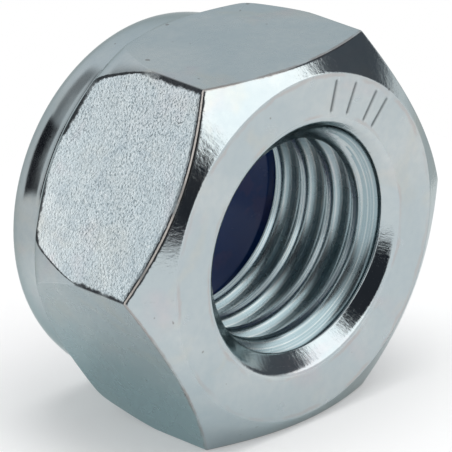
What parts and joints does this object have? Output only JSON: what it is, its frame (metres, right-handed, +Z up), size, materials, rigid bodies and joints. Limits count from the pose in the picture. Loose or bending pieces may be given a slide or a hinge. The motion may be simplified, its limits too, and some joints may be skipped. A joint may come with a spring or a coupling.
{
  "type": "nylon insert lock nut",
  "caption": "Hexagon lock nut with a threaded bore and a rolled collar that holds a blue plastic locking ring.",
  "frame": {"origin": "on the thread axis, midway along the nut's height", "axes": "+Y along the thread axis from the bearing face to the collar, +Z up from the flat the nut stands on"},
  "size_m": [0.0218, 0.012, 0.019],
  "materials": {
    "zinc_steel": "bright zinc plating, satin, pressed flats slightly grained",
    "nylon": "blue moulded nylon, semi-gloss"
  },
  "bodies": {
    "root": {"nut_body": "zinc_steel", "nylon_ring": "nylon"}
  },
  "joints": []
}
